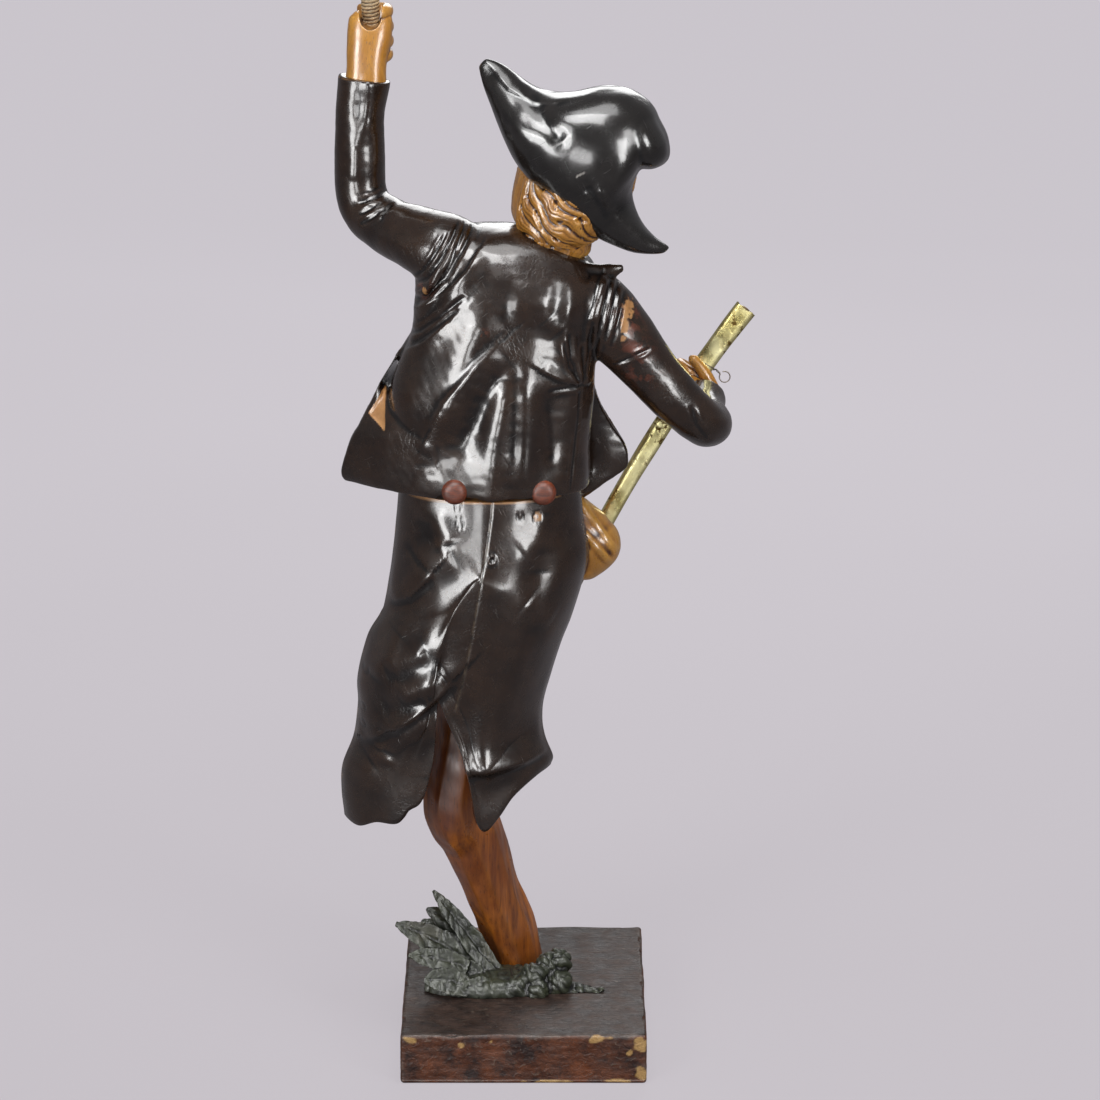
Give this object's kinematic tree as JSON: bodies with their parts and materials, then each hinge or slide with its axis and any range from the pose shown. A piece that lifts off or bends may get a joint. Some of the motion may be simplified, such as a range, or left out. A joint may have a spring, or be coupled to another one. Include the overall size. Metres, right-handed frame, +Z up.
{
  "type": "freedom fighter statue",
  "caption": "Carved and painted wooden figure of a coated fighter in an upswept hat, leaning on a square plinth with a raised staff and a sheath.",
  "frame": {"origin": "centre of the plinth's underside", "axes": "+Z up, +Y the way the figure faces, so its back with the coat tails faces -Y, +X towards its right arm with the sheath"},
  "size_m": [0.689, 0.5139, 1.7647],
  "materials": {
    "hewn_wood": "hewn and dark stained, satin, worn raw at the edges",
    "leaf_paint": "dark green paint, semi-gloss, worn",
    "red_wood": "red-brown varnish over streaky grain",
    "tan_wood": "orange-tan varnish over carved wood",
    "coat_paint": "dark brown gloss varnish, lightly crazed, chipped in places",
    "hat_paint": "near-black gloss paint",
    "knob_wood": "turned and polished red-brown wood",
    "staff_cord": "pale, carved as wound cord, matt",
    "sheath_brass": "tarnished, spotted",
    "wire_steel": "dull, darkened"
  },
  "bodies": {
    "root": {"plinth": "hewn_wood", "leg_left": "red_wood", "leg_right": "red_wood", "breeches": "tan_wood", "foliage": "leaf_paint", "shirt": "tan_wood", "head": "tan_wood", "hat": "hat_paint", "coat_body": "coat_paint", "coat_skirt": "coat_paint", "button_left": "knob_wood", "button_right": "knob_wood", "hand_left": "tan_wood", "hand_right": "tan_wood", "staff": "staff_cord", "scabbard": "sheath_brass", "binding_wire": "wire_steel"}
  },
  "joints": []
}
